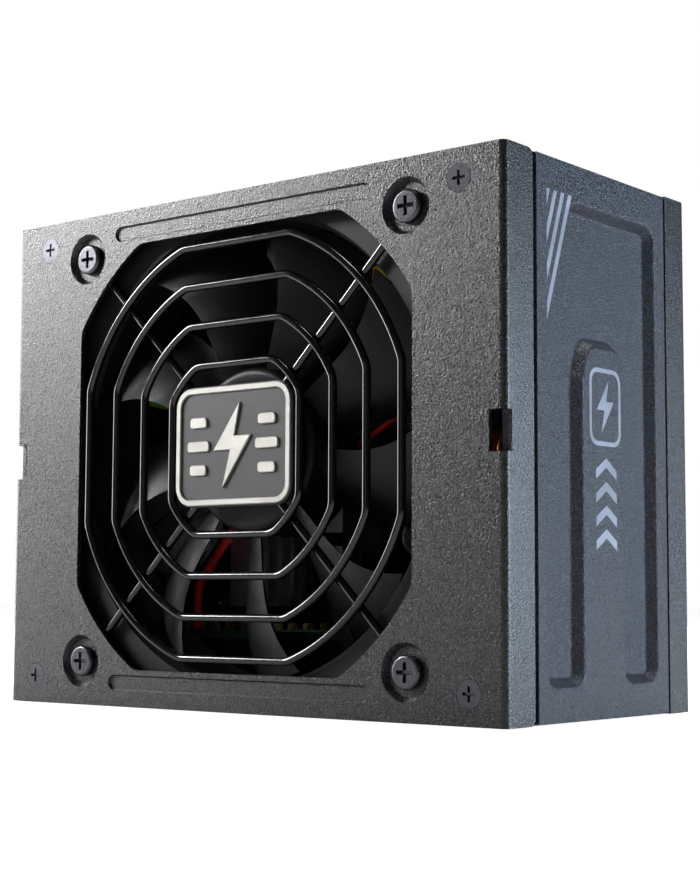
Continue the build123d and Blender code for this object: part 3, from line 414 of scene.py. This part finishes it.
def tube_mesh(name, paths, radius, sides=8):
    """Round wires along lists of points."""
    mesh = bmesh.new()
    for path in paths:
        points = [Vector(p) for p in path]
        tangents = [(b - a).normalized() for a, b in zip([points[0]] + points[:-1],
                                                         points[1:] + [points[-1]])]
        side = tangents[0].orthogonal().normalized()
        rings = []
        for point, tangent in zip(points, tangents):
            side = (side - tangent * side.dot(tangent)).normalized()
            rings.append(circle(mesh, point, side, tangent.cross(side), radius, sides))
        skin(mesh, rings)
        mesh.faces.new(list(reversed(rings[0])))
        mesh.faces.new(rings[-1])
    return finished(mesh, name, smooth=True)


# A lightning bolt, ten high.
BOLT = [(1.2, 5.0), (-3.0, -0.6), (-0.3, -0.6), (-1.4, -5.0), (3.0, 1.1), (0.4, 1.1)]


def scaled(outline, scale, dx=0.0, dy=0.0):
    """An outline made larger or smaller and moved."""
    return [(x * scale + dx, y * scale + dy) for x, y in outline]


# --------------------------------------------------------- badge and weld beads
BADGE_RELIEF = 0.42
BADGE_BEVEL = 0.16
BADGE_CORNER = 4.0
PLATE_BEVEL = 0.15
RIM_GAP = 0.25
RIM_WIDTH = 1.2
BADGE_BOLT_SCALE = 1.62
BADGE_BAR_ROWS = ((1, 4.4), (0, 5.8), (-1, 4.4))
BADGE_BAR_HEIGHT = 2.1
BADGE_BAR_CORNER = 0.7
BADGE_BAR_PITCH = 4.6
BADGE_BAR_OFFSET = 8.8


def build_badge():
    """A plate with a raised rim, and a lightning bolt between stacked bars."""
    low, high = corners("grille_badge")
    centre_x, centre_z = (low.x + high.x) / 2, (low.z + high.z) / 2
    width, depth = high.x - low.x, high.z - low.z
    thickness = high.y - low.y - BADGE_RELIEF

    def on_plate(x, y, height):
        return Vector((centre_x + x, high.y - height, centre_z + y)) * MM

    def on_badge(x, y, height):
        return on_plate(x, y, thickness + height)

    def badge_outline(margin):
        return rounded_rectangle(width - 2 * margin, depth - 2 * margin, BADGE_CORNER - margin)

    plate = prism_mesh("badge_plate", [badge_outline(0.0)], on_plate, thickness, PLATE_BEVEL)
    piece = add_piece("badge_plate", plate, BADGE_FIELD, "casing")
    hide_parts("grille_badge")
    rim = ring_mesh("badge_rim", badge_outline(RIM_GAP), badge_outline(RIM_GAP + RIM_WIDTH),
                    on_badge, BADGE_RELIEF, BADGE_BEVEL)
    add_piece("badge_rim", rim, BADGE_METAL, "casing")
    bolt = prism_mesh("badge_bolt", [scaled(BOLT, BADGE_BOLT_SCALE)], on_badge,
                      BADGE_RELIEF, BADGE_BEVEL)
    add_piece("badge_bolt", bolt, BADGE_METAL, "casing")
    bars = []
    for side in (-1, 1):
        for row, length in BADGE_BAR_ROWS:
            bar_outline = rounded_rectangle(length, BADGE_BAR_HEIGHT, BADGE_BAR_CORNER, 4)
            bars.append(scaled(bar_outline, 1.0, side * BADGE_BAR_OFFSET, row * BADGE_BAR_PITCH))
    bar_mesh = prism_mesh("badge_bars", bars, on_badge, BADGE_RELIEF, BADGE_BEVEL)
    add_piece("badge_bars", bar_mesh, BADGE_METAL, "casing")


# Half the height of each grille ring at its wire's middle, and a bead's profile.
RING_HALVES = (16.4, 24.3, 32.2, 40.1)
BEAD_RADIUS = 0.9
BEAD_PROFILE = ((-0.55, 0.78), (-0.3, 0.84), (-0.12, BEAD_RADIUS),
                (0.12, BEAD_RADIUS), (0.3, 0.84), (0.55, 0.78))


def build_weld_beads():
    """Each grille ring has a butt weld at the middle of its top and its foot."""
    low, high = corners("grille_rings")
    centre = (low + high) / 2
    beads = []
    for half in RING_HALVES:
        for side in (-1, 1):
            place = (centre.x, low.y + BEAD_RADIUS, centre.z + side * half)
            beads.append(lathe_mesh("bead", BEAD_PROFILE, place, (1, 0, 0), 16))
    add_piece("weld_beads", joined("weld_beads", beads), WIRE, "casing")


# ---------------------------------------------------------------- side prints
# On a side panel, x runs along the case's depth and y upwards.
INK_THICKNESS = 0.04
STRIPE_PITCH = 2.4
STRIPE_WIDTH = 1.13
STRIPE_SLOPE = 2.81
STRIPE_TOP = 93.8
STRIPE_LEFT = -18.7
FIRST_STRIPE_RIGHT = -17.6
CHEVRON_FOOT = 30.4
CHEVRON_PITCH = 4.3
CHEVRON_RISE = 2.2
CHEVRON_WIDTH = 1.7
CHEVRON_SPAN = (-2.7, 0.9, 4.5)
# Width, height and corner radius.
SIDE_FRAME_OUTER = (11.0, 14.2, 2.6)
SIDE_FRAME_INNER = (9.4, 12.6, 1.9)
SIDE_BOLT_SCALE = 0.98
SIDE_BOLT_PLACE = (0.7, 56.5)


def side_stripes():
    """Four slanting stripes that run into the panel's upper front corner."""
    outlines = []
    for stripe in range(4):
        right = FIRST_STRIPE_RIGHT + stripe * STRIPE_PITCH
        left = right - STRIPE_WIDTH
        foot_right = STRIPE_TOP - STRIPE_SLOPE * (right - STRIPE_LEFT)
        if left < STRIPE_LEFT:
            outlines.append([(STRIPE_LEFT, STRIPE_TOP), (right, STRIPE_TOP),
                             (STRIPE_LEFT, foot_right)])
            continue
        foot_left = STRIPE_TOP - STRIPE_SLOPE * (left - STRIPE_LEFT)
        outlines.append([(left, STRIPE_TOP), (right, STRIPE_TOP),
                         (STRIPE_LEFT, foot_right), (STRIPE_LEFT, foot_left)])
    return outlines


def side_chevrons():
    """Four chevrons in a column, pointing up."""
    left, middle, right = CHEVRON_SPAN
    outlines = []
    for row in range(4):
        foot = CHEVRON_FOOT + CHEVRON_PITCH * row
        tip = foot + CHEVRON_RISE
        outlines.append([(left, foot), (middle, tip), (right, foot),
                         (right, foot + CHEVRON_WIDTH), (middle, tip + CHEVRON_WIDTH),
                         (left, foot + CHEVRON_WIDTH)])
    return outlines


def build_side_prints():
    """Stripes, and a bolt in a rounded frame over chevrons, on both side panels."""
    for side, name in ((1, "right"), (-1, "left")):
        low, high = corners(f"side_panel_{name}")
        surface = high.x if side > 0 else low.x

        def on_side(y, z, height, side=side, surface=surface):
            return Vector((surface + side * height, y, z)) * MM

        outer = scaled(rounded_rectangle(*SIDE_FRAME_OUTER), 1.0, *SIDE_BOLT_PLACE)
        inner = scaled(rounded_rectangle(*SIDE_FRAME_INNER), 1.0, *SIDE_BOLT_PLACE)
        bolt = scaled(BOLT, SIDE_BOLT_SCALE, *SIDE_BOLT_PLACE)
        prints = (
            prism_mesh(f"side_stripes_{name}", side_stripes(), on_side, INK_THICKNESS),
            prism_mesh(f"side_chevrons_{name}", side_chevrons(), on_side, INK_THICKNESS),
            ring_mesh(f"side_frame_{name}", outer, inner, on_side, INK_THICKNESS),
            prism_mesh(f"side_bolt_{name}", [bolt], on_side, INK_THICKNESS),
        )
        for mesh in prints:
            add_piece(mesh.name, mesh, INK, "casing")


# ------------------------------------------------------- coils and capacitors
RING_TURN_POINTS = 16
COIL_TURN_POINTS = 24
# How nearly square a turn is as it goes round a ring core.
SQUARENESS = 5


def ring_turns(core, inner, outer, wire, turns, start, end):
    """The path of a wire wound round a flat ring core, between two angles in degrees."""
    low, high = corners(core)
    centre_x, centre_z = (low.x + high.x) / 2, (low.z + high.z) / 2
    mean_radius, mean_y = (inner + outer) / 2, (low.y + high.y) / 2
    half_radius, half_y = (outer - inner) / 2 + wire, (high.y - low.y) / 2 + wire
    path = []
    points = turns * RING_TURN_POINTS
    for step in range(points + 1):
        angle = math.radians(start + (end - start) * step / points)
        section = 2 * math.pi * step / RING_TURN_POINTS
        across, along = math.cos(section), math.sin(section)
        square = (abs(across) ** SQUARENESS + abs(along) ** SQUARENESS) ** (1 / SQUARENESS)
        radius = mean_radius + half_radius * across / square
        path.append((centre_x + radius * math.sin(angle), mean_y + half_y * along / square,
                     centre_z + radius * math.cos(angle)))
    return path


def add_winding(name, paths, wire, replaced, sides=8):
    """Copper wire in place of a CAD winding."""
    piece = add_piece(name, tube_mesh(name, paths, wire, sides), COPPER, "casing")
    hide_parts(replaced)


# Each core's inner and outer radius, and the radius of its wire.
BOOST_CHOKE = (5.4, 9.6, 0.5)
FILTER_CHOKE = (4.6, 8.0, 0.45)
COIL_WIRE = 0.9
COIL_GAP = 0.1


def build_chokes():
    """Real turns on the two ring chokes: one winding on one, two on the other."""
    turns = ring_turns("boost_choke_core", *BOOST_CHOKE, 23, 188, 532)
    add_winding("boost_choke_turns", [turns], BOOST_CHOKE[2], "boost_choke_winding")
    halves = [ring_turns("filter_choke_core", *FILTER_CHOKE, 11, start, start + 152)
              for start in (14, 194)]
    add_winding("filter_choke_turns", halves, FILTER_CHOKE[2], "filter_choke_windings")


def build_output_coil():
    """A helix of thick wire on a ferrite rod."""
    low, high = corners("output_coil")
    centre = (low + high) / 2
    length = high.x - low.x
    wire = COIL_WIRE
    turns = int((length - 2 * wire) / (2 * wire + COIL_GAP))
    radius = (high.z - low.z) / 2 - wire
    points = turns * COIL_TURN_POINTS
    path = []
    for step in range(points + 1):
        angle = 2 * math.pi * step / COIL_TURN_POINTS
        path.append((low.x + wire + (length - 2 * wire) * step / points,
                     centre.y + radius * math.sin(angle), centre.z + radius * math.cos(angle)))
    add_winding("output_coil_turns", [path], wire, "output_coil", 10)
    rod_radius = radius - wire - COIL_GAP
    chamfer_radius = rod_radius - 0.5
    profile = ((0.2, chamfer_radius), (0.6, rod_radius), (length - 0.6, rod_radius),
               (length - 0.2, chamfer_radius))
    rod = lathe_mesh("output_coil_rod", profile, (low.x, centre.y, centre.z), (1, 0, 0))
    add_piece("output_coil_rod", rod, FERRITE, "casing")


OUTPUT_CAPACITOR_RADIUS = 4.0
OUTPUT_CAPACITOR_PLACES = (12.0, 21.0, 30.0, 39.0, 47.5)
# The vent lines start just inside a can's pressed end, which stands proud of the CAD can.
VENT_LIFT = 0.05
VENT_THICKNESS = 0.06


def capacitor_end(x, z, level, radius):
    """A can's pressed end: a rolled rim round a flat disc."""
    profile = ((0.0, radius * 0.9), (0.12, radius * 0.9), (0.2, radius * 0.86),
               (0.12, radius * 0.82), (0.06, radius * 0.8))
    return lathe_mesh("can_end", profile, (x, level, z), (0, -1, 0), 40)


def vent_bars(x, z, length, width, arms):
    """The scored lines on a can's end, as narrow bars from its middle."""
    outlines = []
    for arm in arms:
        turn = math.radians(arm)
        along = Vector((math.cos(turn), math.sin(turn)))
        across = Vector((-along.y, along.x)) * width / 2
        foot, tip = Vector((x, z)), Vector((x, z)) + along * length
        outlines.append([tuple(foot - across), tuple(tip - across), tuple(tip + across),
                         tuple(foot + across)])
    return outlines


def add_vents(name, bars, level):
    """Vent lines on a can's end, which faces the fan at the given y."""
    def on_end(x, z, height):
        return Vector((x, level - VENT_LIFT - height, z)) * MM

    add_piece(name, prism_mesh(name, bars, on_end, VENT_THICKNESS), SLEEVE, "casing")


def build_capacitor_ends():
    """Bare aluminium ends with vent lines on the electrolytic capacitors."""
    low, high = corners("bulk_capacitor")
    x, z, radius = (low.x + high.x) / 2, (low.z + high.z) / 2, (high.x - low.x) / 2
    end = capacitor_end(x, z, low.y, radius)
    add_piece("bulk_capacitor_end", end, ALUMINIUM, "casing")
    add_vents("bulk_capacitor_vent", vent_bars(x, z, radius * 0.62, 0.5, (90, 210, 330)), low.y)

    low, high = corners("output_capacitors")
    radius = OUTPUT_CAPACITOR_RADIUS
    ends = []
    bars = []
    for z in (low.z + radius, high.z - radius):
        for x in OUTPUT_CAPACITOR_PLACES:
            ends.append(capacitor_end(x, z, low.y, radius))
            bars += vent_bars(x, z, radius * 0.65, 0.3, (45, 135, 225, 315))
    add_piece("output_capacitor_ends", joined("ends", ends), ALUMINIUM, "casing")
    add_vents("output_capacitor_vents", bars, low.y)


# ------------------------------------------------- rating plate and rocker marks
# On the label, x runs to the right as seen from behind and y upwards.
LABEL_CENTRE_Z = 50.0
LABEL_THICKNESS = 0.04
LABEL_INK = 0.02
TABLE_WIDTH = 80.0
TABLE_TOP = 8.0
TABLE_ROWS = 5
TABLE_COLUMNS = 6
TABLE_ROW_HEIGHT = 5.0
TABLE_LINE = 0.3
HEADING_BARS = (30.0, 22.0, 26.0)
HEADING_PLACE = (-24.0, 23.5)
HEADING_PITCH = 3.4
HEADING_HEIGHT = 1.3
STRIPE_ROW = (0.5, 1.1, 0.4, 0.8, 1.4, 0.5, 0.5, 1.0, 0.4, 1.3, 0.6, 0.9, 0.4, 1.2)
STRIPE_ROW_PLACE = (16.0, 18.6)
STRIPE_ROW_HEIGHT = 9.0
STRIPE_ROW_GAP = 0.7
LABEL_BOLT_SCALE = 1.15
LABEL_BOLT_PLACE = (-34.0, 19.0)


def rectangle(x, y, width, height):
    """A rectangle's corners from its middle and size."""
    return [(x - width / 2, y - height / 2), (x + width / 2, y - height / 2),
            (x + width / 2, y + height / 2), (x - width / 2, y + height / 2)]


def label_lines():
    """An empty table, three heading bars and a row of stripes, as outlines."""
    lines = []
    for row in range(TABLE_ROWS + 1):
        lines.append(rectangle(0, TABLE_TOP - TABLE_ROW_HEIGHT * row, TABLE_WIDTH, TABLE_LINE))
    table_height = TABLE_ROW_HEIGHT * TABLE_ROWS
    for column in range(TABLE_COLUMNS + 1):
        lines.append(rectangle(-TABLE_WIDTH / 2 + TABLE_WIDTH * column / TABLE_COLUMNS,
                               TABLE_TOP - table_height / 2, TABLE_LINE, table_height))
    left, top = HEADING_PLACE
    for row, length in enumerate(HEADING_BARS):
        lines.append(rectangle(left + length / 2, top - HEADING_PITCH * row, length,
                               HEADING_HEIGHT))
    left, middle = STRIPE_ROW_PLACE
    for width in STRIPE_ROW:
        lines.append(rectangle(left + width / 2, middle, width, STRIPE_ROW_HEIGHT))
        left += width + STRIPE_ROW_GAP
    return lines


def build_rating_plate():
    """A foil label on the back, with a border, a table, a bolt and plain bars."""
    back_y = corners("chassis")[1].y

    def on_back(x, y, height):
        return Vector((-x, back_y + height, LABEL_CENTRE_Z + y)) * MM

    def on_foil(x, y, height):
        return on_back(x, y, LABEL_THICKNESS + height)

    foil = prism_mesh("rating_plate", [rounded_rectangle(92.0, 62.0, 2.5)], on_back,
                      LABEL_THICKNESS)
    add_piece("rating_plate", foil, LABEL, "casing")
    border = ring_mesh("border", rounded_rectangle(88.0, 58.0, 1.8),
                       rounded_rectangle(87.2, 57.2, 1.4), on_foil, LABEL_INK)
    marks = prism_mesh("marks", label_lines(), on_foil, LABEL_INK)
    bolt_outline = scaled(BOLT, LABEL_BOLT_SCALE, *LABEL_BOLT_PLACE)
    bolt = prism_mesh("bolt", [bolt_outline], on_foil, LABEL_INK)
    add_piece("rating_marks", joined("rating_marks", [border, marks, bolt]), MARK, "casing")


# The rocker as the CAD part has it: its axle, its lean at rest, and its two slopes,
# which rise from a valley over the axle.
ROCKER_AXLE = Vector((-12.0, 8.0, 99.0))
ROCKER_TILT = math.radians(11.0)
ROCKER_SLOPE = math.radians(10.73)
ROCKER_HALF_LENGTH = 9.5
ROCKER_VALLEY = 2.1
ROCKER_RISE = 1.8
ROCKER_MARK_OFFSET = 5.4
ROCKER_MARK_THICKNESS = 0.03


def build_rocker_marks():
    """The on bar and off ring, in white on the rocker's two slopes."""
    along = Vector((0, math.cos(ROCKER_TILT), math.sin(ROCKER_TILT)))
    upward = Vector((0, -math.sin(ROCKER_TILT), math.cos(ROCKER_TILT)))
    height_there = ROCKER_VALLEY + ROCKER_RISE * ROCKER_MARK_OFFSET / ROCKER_HALF_LENGTH

    def on_slope(side):
        run = along * math.cos(ROCKER_SLOPE) + upward * (side * math.sin(ROCKER_SLOPE))
        normal = upward * math.cos(ROCKER_SLOPE) - along * (side * math.sin(ROCKER_SLOPE))
        start = ROCKER_AXLE + along * (side * ROCKER_MARK_OFFSET) + upward * height_there

        def place(x, y, height):
            return (start + Vector((x, 0, 0)) + run * y + normal * height) * MM
        return place

    on_mark = prism_mesh("on", [rounded_rectangle(0.55, 2.8, 0.2, 3)], on_slope(1),
                         ROCKER_MARK_THICKNESS)
    off_mark = ring_mesh("off", rounded_rectangle(2.8, 2.8, 1.39, 8),
                         rounded_rectangle(1.8, 1.8, 0.89, 8), on_slope(-1),
                         ROCKER_MARK_THICKNESS)
    add_piece("rocker_marks", joined("rocker_marks", [on_mark, off_mark]), MARK, "rocker")


build_badge()
build_weld_beads()
build_side_prints()
build_chokes()
build_output_coil()
build_capacitor_ends()
build_rating_plate()
build_rocker_marks()


# ---------------------------------------------------- light, floor and camera
WHITE_LIGHT = (1, 1, 1)
COOL_LIGHT = (0.68, 0.82, 1.0)
# Name, place, the point it is aimed at, width and height, watts, colour.
SOFTBOXES = (
    ("key", (-0.63, -0.4, 0.38), (-0.05, -0.03, 0.08), (0.24, 0.24), 8.8, WHITE_LIGHT),
    ("front_fill", (0.25, -1.1, 0.3), (0.02, 0, 0.05), (0.5, 0.5), 0.35, WHITE_LIGHT),
    ("side", (0.62, 0.38, 0.03), (0.06, 0, 0.04), (0.3, 0.25), 7.5, COOL_LIGHT),
    ("left_strip", (-0.75, -0.13, 0.08), (0, -0.03, 0.05), (0.45, 0.3), 4.0, WHITE_LIGHT),
    ("top", (0.06, 0.08, 0.75), (0.01, 0, 0.05), (0.3, 0.3), 9.0, WHITE_LIGHT),
    ("back", (-0.7, 0.8, 0.5), (0, 0, 0.05), (0.6, 0.6), 9.0, WHITE_LIGHT),
)
FLOOR_HALF_SIZE = 6.0
FLOOR_DROP = 0.0002
# The strengths the camera sees, and those that light the object.
FLOOR_SEEN, FLOOR_UNSEEN = 0.95, 0.0
WORLD_SEEN, WORLD_UNSEEN = 1.0, 0.04


def add_area(name, place, target, size, power, colour):
    """A rectangular softbox aimed at a point."""
    light = bpy.data.lights.new(name, "AREA")
    light.shape = "RECTANGLE"
    light.size, light.size_y = size
    light.energy = power
    light.color = colour
    lamp = bpy.data.objects.new(name, light)
    lamp.location = place
    lamp.rotation_mode = "QUATERNION"
    lamp.rotation_quaternion = (Vector(target) - Vector(place)).to_track_quat("-Z", "Y")
    bpy.context.scene.collection.objects.link(lamp)


def camera_only(nodes, links, seen, unseen):
    """A strength that differs between what the camera sees and what lights the object."""
    path = nodes.new("ShaderNodeLightPath")
    mix = nodes.new("ShaderNodeMapRange")
    mix.inputs["To Min"].default_value = unseen
    mix.inputs["To Max"].default_value = seen
    links.new(path.outputs["Is Camera Ray"], mix.inputs["Value"])
    return mix.outputs["Result"]


def build_stage():
    """Pale floor, white surroundings and softboxes."""
    mesh = bmesh.new()
    bmesh.ops.create_grid(mesh, x_segments=1, y_segments=1, size=FLOOR_HALF_SIZE)
    data = bpy.data.meshes.new("floor")
    mesh.to_mesh(data)
    mesh.free()
    floor = bpy.data.objects.new("floor", data)
    bpy.context.scene.collection.objects.link(floor)
    floor.location = (0, 0, -FLOOR_DROP)
    material, nodes, links, shader, _ = new_material("floor", (0.5, 0.5, 0.5), 0.7)
    shader.inputs["Emission Color"].default_value = (1, 1, 1, 1)
    strength = camera_only(nodes, links, FLOOR_SEEN, FLOOR_UNSEEN)
    links.new(strength, shader.inputs["Emission Strength"])
    data.materials.append(material)
    world = bpy.data.worlds.new("studio")
    world.use_nodes = True
    background = world.node_tree.nodes["Background"]
    background.inputs["Color"].default_value = (1, 1, 1, 1)
    nodes, links = world.node_tree.nodes, world.node_tree.links
    strength = camera_only(nodes, links, WORLD_SEEN, WORLD_UNSEEN)
    links.new(strength, background.inputs["Strength"])
    bpy.context.scene.world = world
    bpy.context.scene.view_settings.view_transform = "Standard"
    for softbox in SOFTBOXES:
        add_area(*softbox)


CAMERA_PLACE = Vector((0.228465, -0.278869, 0.021204))
# Azimuth, elevation and roll in degrees; the lens and its sensor are in millimetres.
CAMERA_TURN = (38.938, -5.351, 0.252)
CAMERA_LENS = 73.33
CAMERA_SENSOR = 36.0


def build_camera():
    """The view from below and to the right of the fan side."""
    azimuth, elevation, roll = (math.radians(a) for a in CAMERA_TURN)
    back = Vector((math.sin(azimuth) * math.cos(elevation),
                   -math.cos(azimuth) * math.cos(elevation), math.sin(elevation)))
    right = (-back).cross(Vector((0, 0, 1))).normalized()
    up = right.cross(-back)
    across = right * math.cos(roll) + up * math.sin(roll)
    upwards = up * math.cos(roll) - right * math.sin(roll)
    data = bpy.data.cameras.new("camera")
    data.lens = CAMERA_LENS
    data.sensor_width = CAMERA_SENSOR
    data.clip_start = 0.01
    camera = bpy.data.objects.new("camera", data)
    camera.matrix_world = Matrix((
        (across.x, upwards.x, back.x, CAMERA_PLACE.x),
        (across.y, upwards.y, back.y, CAMERA_PLACE.y),
        (across.z, upwards.z, back.z, CAMERA_PLACE.z),
        (0, 0, 0, 1)))
    bpy.context.scene.collection.objects.link(camera)
    bpy.context.scene.camera = camera


build_stage()
build_camera()
